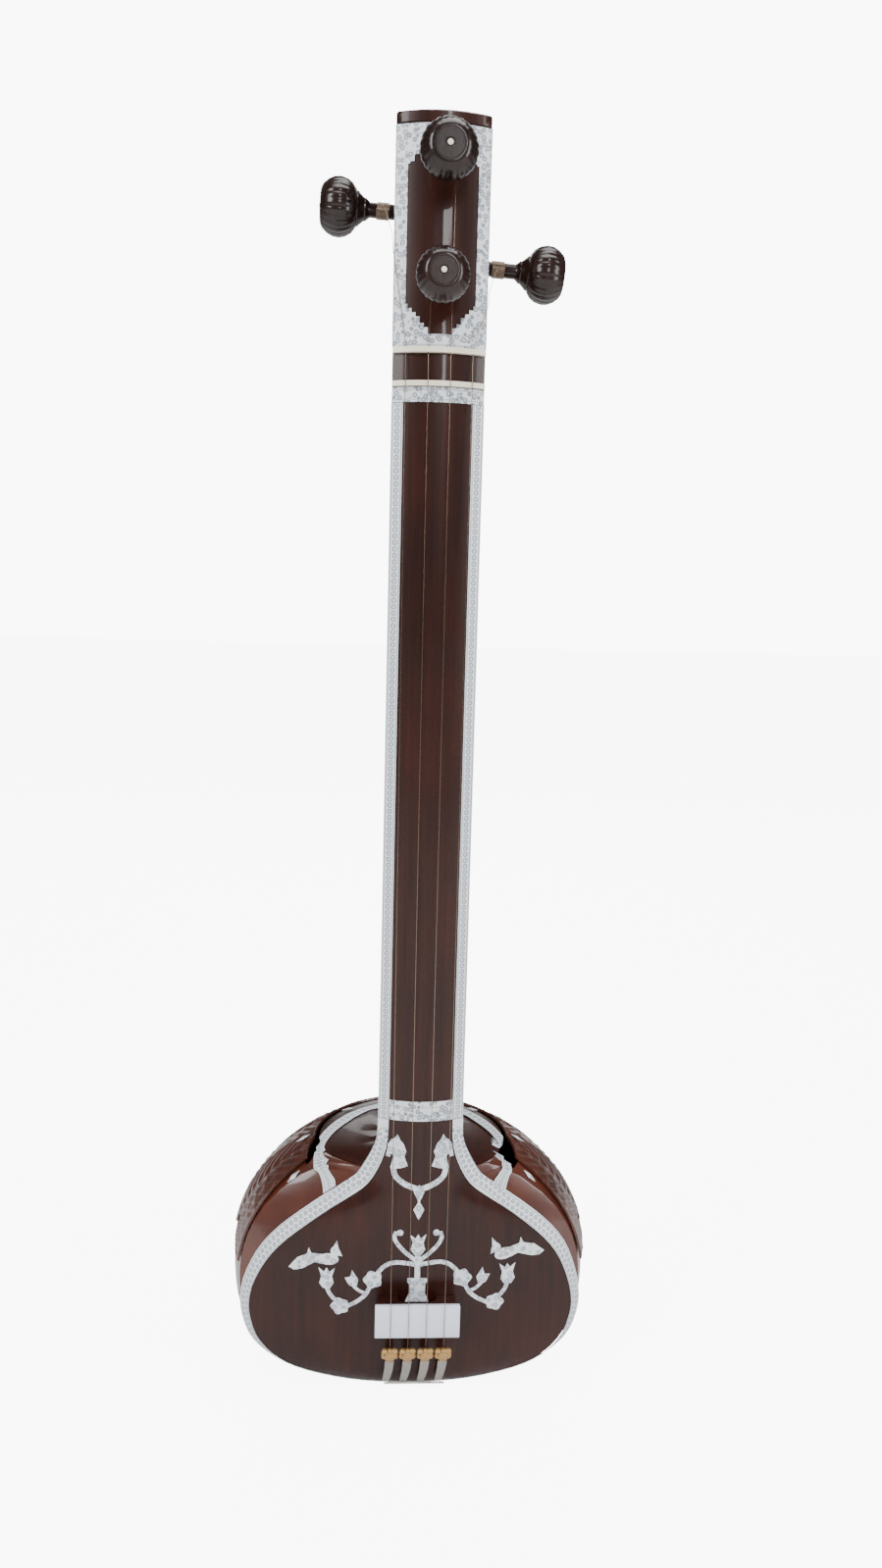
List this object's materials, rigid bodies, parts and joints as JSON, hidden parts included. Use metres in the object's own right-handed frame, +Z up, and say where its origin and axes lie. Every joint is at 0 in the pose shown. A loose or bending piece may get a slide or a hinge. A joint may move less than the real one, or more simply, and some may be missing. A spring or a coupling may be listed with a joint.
{
  "type": "long-necked drone lute",
  "caption": "Standing long-necked drone lute with a hollow gourd body, inlaid soundboard, wide bridge, tied strings, turning pegs and sliding bead fine tuners.",
  "frame": {"origin": "centre of the flat foot under the gourd, on the neck's line", "axes": "+Z up along the neck, -Y out of the soundboard towards the player's strings, +X to the right seen from the front"},
  "size_m": [0.4094, 0.3599, 1.348],
  "materials": {
    "walnut": "deep brown high-gloss lacquer",
    "gourd_brown": "reddish brown high-gloss lacquer over dried gourd",
    "peg_wood": "near-black polished hardwood",
    "celluloid": "white binding engraved with a fine grey pattern",
    "bone": "polished cream bone substitute",
    "string_steel": "thin drawn wire",
    "gilt": "satin gilt",
    "tail_grey": "fluted, dull silver"
  },
  "bodies": {
    "instrument": {"bird_inlay_left": "celluloid", "bird_inlay_right": "celluloid", "bridge_base": "walnut", "bridge_plate": "bone", "gourd_shell": "gourd_brown", "head_cap": "walnut", "horse_inlay": "celluloid", "joint_band": "celluloid", "leaf_carving_left": "walnut", "leaf_carving_right": "walnut", "lower_nut": "bone", "lozenge_left_1": "celluloid", "lozenge_left_2": "celluloid", "lozenge_left_3": "celluloid", "lozenge_right_1": "celluloid", "lozenge_right_2": "celluloid", "lozenge_right_3": "celluloid", "neck_binding_left": "celluloid", "neck_binding_right": "celluloid", "neck_collar": "walnut", "neck_face": "walnut", "neck_trough": "walnut", "nut_band": "celluloid", "nut_gap_face": "walnut", "peghead_face": "walnut", "peghead_frame": "celluloid", "shoulder_binding_left": "celluloid", "shoulder_binding_right": "celluloid", "soundboard": "walnut", "soundboard_binding_left": "celluloid", "soundboard_binding_right": "celluloid", "string_1": "string_steel", "string_2": "string_steel", "string_3": "string_steel", "string_4": "string_steel", "tailpiece": "bone", "upper_nut": "bone", "vase_inlay": "celluloid", "vine_inlay_left": "celluloid", "vine_inlay_right": "celluloid"},
    "peg_1_body": {"peg_1": "peg_wood", "peg_dot_1": "bone", "peg_winding_1": "string_steel"},
    "peg_2_body": {"peg_2": "peg_wood", "peg_dot_2": "bone", "peg_winding_2": "string_steel"},
    "peg_3_body": {"peg_3": "peg_wood", "peg_dot_3": "bone", "peg_winding_3": "string_steel"},
    "peg_4_body": {"peg_4": "peg_wood", "peg_dot_4": "bone", "peg_winding_4": "string_steel"},
    "tuner_1_body": {"tuner_bead_1": "gilt", "tuner_tail_1": "tail_grey"},
    "tuner_2_body": {"tuner_bead_2": "gilt", "tuner_tail_2": "tail_grey"},
    "tuner_3_body": {"tuner_bead_3": "gilt", "tuner_tail_3": "tail_grey"},
    "tuner_4_body": {"tuner_bead_4": "gilt", "tuner_tail_4": "tail_grey"}
  },
  "joints": [
    {"name": "peg_1_turn", "type": "hinge", "parent": "instrument", "child": "peg_1_body", "pos_m": [-0.1189, -0.06, 1.26682], "axis": [-0.9986, 0, 0.0523], "continuous": true},
    {"name": "peg_2_turn", "type": "hinge", "parent": "instrument", "child": "peg_2_body", "pos_m": [-0.0005, -0.153, 1.188], "axis": [0, -1, 0], "continuous": true},
    {"name": "peg_3_turn", "type": "hinge", "parent": "instrument", "child": "peg_3_body", "pos_m": [0.0025, -0.153, 1.298], "axis": [0, -1, 0], "continuous": true},
    {"name": "peg_4_turn", "type": "hinge", "parent": "instrument", "child": "peg_4_body", "pos_m": [0.12331, -0.06, 1.20859], "axis": [0.9976, 0, -0.0698], "continuous": true},
    {"name": "tuner_1_slide", "type": "slide", "parent": "instrument", "child": "tuner_1_body", "axis": [0, -0.4458, 0.8951], "range_m": [-0.008, 0.017]},
    {"name": "tuner_2_slide", "type": "slide", "parent": "instrument", "child": "tuner_2_body", "axis": [0, -0.4458, 0.8951], "range_m": [-0.008, 0.017]},
    {"name": "tuner_3_slide", "type": "slide", "parent": "instrument", "child": "tuner_3_body", "axis": [0, -0.4458, 0.8951], "range_m": [-0.008, 0.017]},
    {"name": "tuner_4_slide", "type": "slide", "parent": "instrument", "child": "tuner_4_body", "axis": [0, -0.4458, 0.8951], "range_m": [-0.008, 0.017]}
  ]
}
